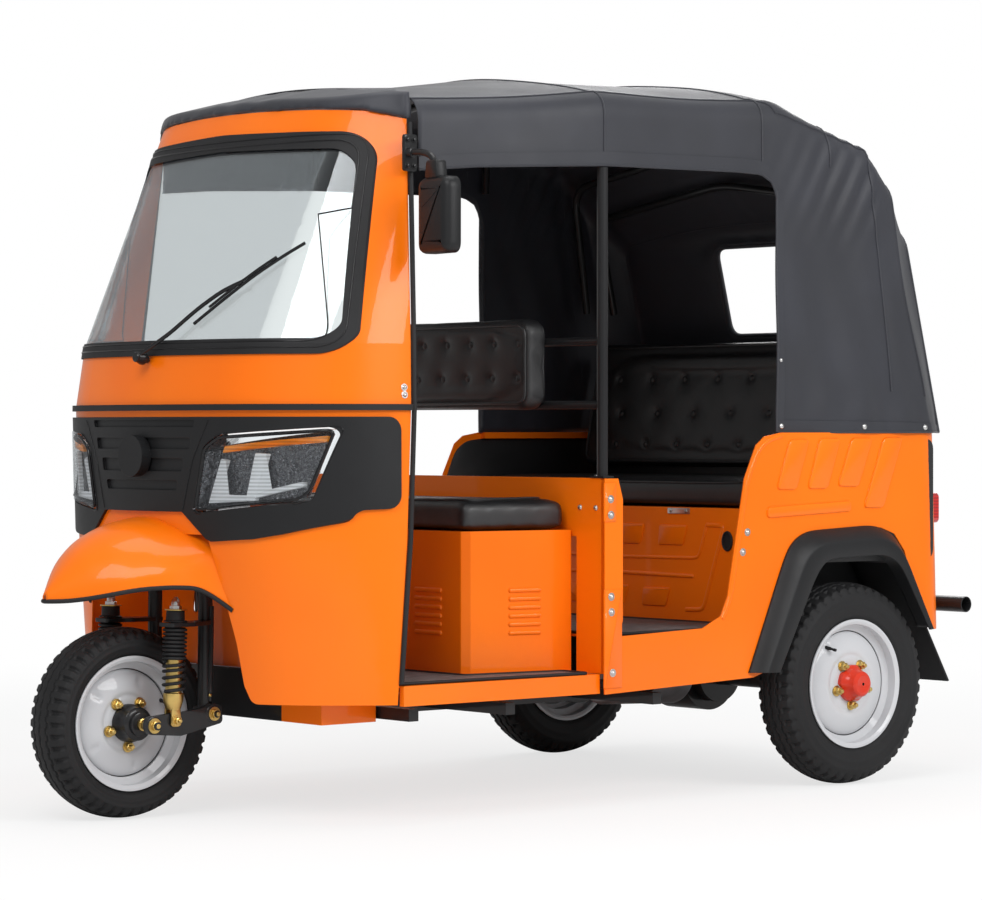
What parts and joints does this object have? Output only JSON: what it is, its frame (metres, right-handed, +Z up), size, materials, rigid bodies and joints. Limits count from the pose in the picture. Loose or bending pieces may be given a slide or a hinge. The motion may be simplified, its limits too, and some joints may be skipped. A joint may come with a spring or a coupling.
{
  "type": "auto rickshaw",
  "caption": "Three-wheeled passenger auto rickshaw with an open-sided orange cab, black canvas hood, bench seat and a steered front wheel on a leading-link fork.",
  "frame": {"origin": "on the ground under the vehicle's centre plane, 1160 mm behind the front axle", "axes": "+X forward, +Y to the driver's left, +Z up"},
  "size_m": [2.6909, 1.4068, 1.904],
  "materials": {
    "body_paint": "gloss orange enamel",
    "black_plastic": "moulded, fine grain",
    "frame_paint": "satin black",
    "rubber": "extruded seal",
    "screen_glass": "laminated",
    "lamp_lens": "clear moulded",
    "lamp_red": "red lens",
    "canvas": "coated canvas",
    "seat_cover": "leatherette",
    "tyre": "road tread",
    "rim_steel": "silver enamel",
    "steel": "machined",
    "floor_steel": "orange enamel under mats",
    "battery_case": "case"
  },
  "bodies": {
    "root": {"front_cowl": "body_paint", "cab_surround": "body_paint", "belt_moulding": "rubber", "grille_mask": "black_plastic", "headlamps": "lamp_lens", "windscreen_gasket": "rubber", "windscreen_glass": "screen_glass", "roof_visor": "black_plastic", "front_mudguard": "body_paint", "chassis_frame": "frame_paint", "wheel_well": "body_paint", "cab_floor": "floor_steel", "under_pan": "body_paint", "rear_floor": "floor_steel", "rear_body": "body_paint", "partition": "body_paint", "seat_box": "body_paint", "seat_cushion": "seat_cover", "seat_backrest": "seat_cover", "seat_frame": "frame_paint", "bench_base": "body_paint", "bench_cushion": "seat_cover", "bench_backrest": "seat_cover", "canvas_hood": "canvas", "hood_bows": "frame_paint", "fender_flares": "black_plastic", "arch_liners": "black_plastic", "mudflaps": "rubber", "rear_axle": "frame_paint", "drive_motor": "steel", "leaf_springs": "frame_paint", "battery_pack": "battery_case", "rear_bumper": "frame_paint", "tail_lamps": "lamp_red", "dashboard": "black_plastic", "door_welts": "rubber", "wiper": "black_plastic", "mirror_left": "black_plastic"},
    "steering": {"fork": "frame_paint", "front_links": "steel", "front_shocks": "frame_paint", "handlebar": "frame_paint"},
    "front_wheel_body": {"front_tyre": "tyre", "front_wheel": "rim_steel"},
    "rear_wheel_left": {"rear_left_tyre": "tyre", "rear_left_wheel": "rim_steel"},
    "rear_wheel_right": {"rear_right_tyre": "tyre", "rear_right_wheel": "rim_steel"}
  },
  "joints": [
    {"name": "steering_turn", "type": "hinge", "parent": "root", "child": "steering", "pos_m": [1.11, 0, 0.235], "axis": [-0.3415, 0, 0.9399], "range_deg": [-40, 40]},
    {"name": "front_wheel_spin", "type": "hinge", "parent": "steering", "child": "front_wheel_body", "pos_m": [1.16, 0, 0.235], "axis": [0, 1, 0], "continuous": true},
    {"name": "rear_left_spin", "type": "hinge", "parent": "root", "child": "rear_wheel_left", "pos_m": [-0.79, 0.58, 0.272], "axis": [0, 1, 0], "continuous": true},
    {"name": "rear_right_spin", "type": "hinge", "parent": "root", "child": "rear_wheel_right", "pos_m": [-0.79, -0.58, 0.272], "axis": [0, 1, 0], "continuous": true}
  ]
}
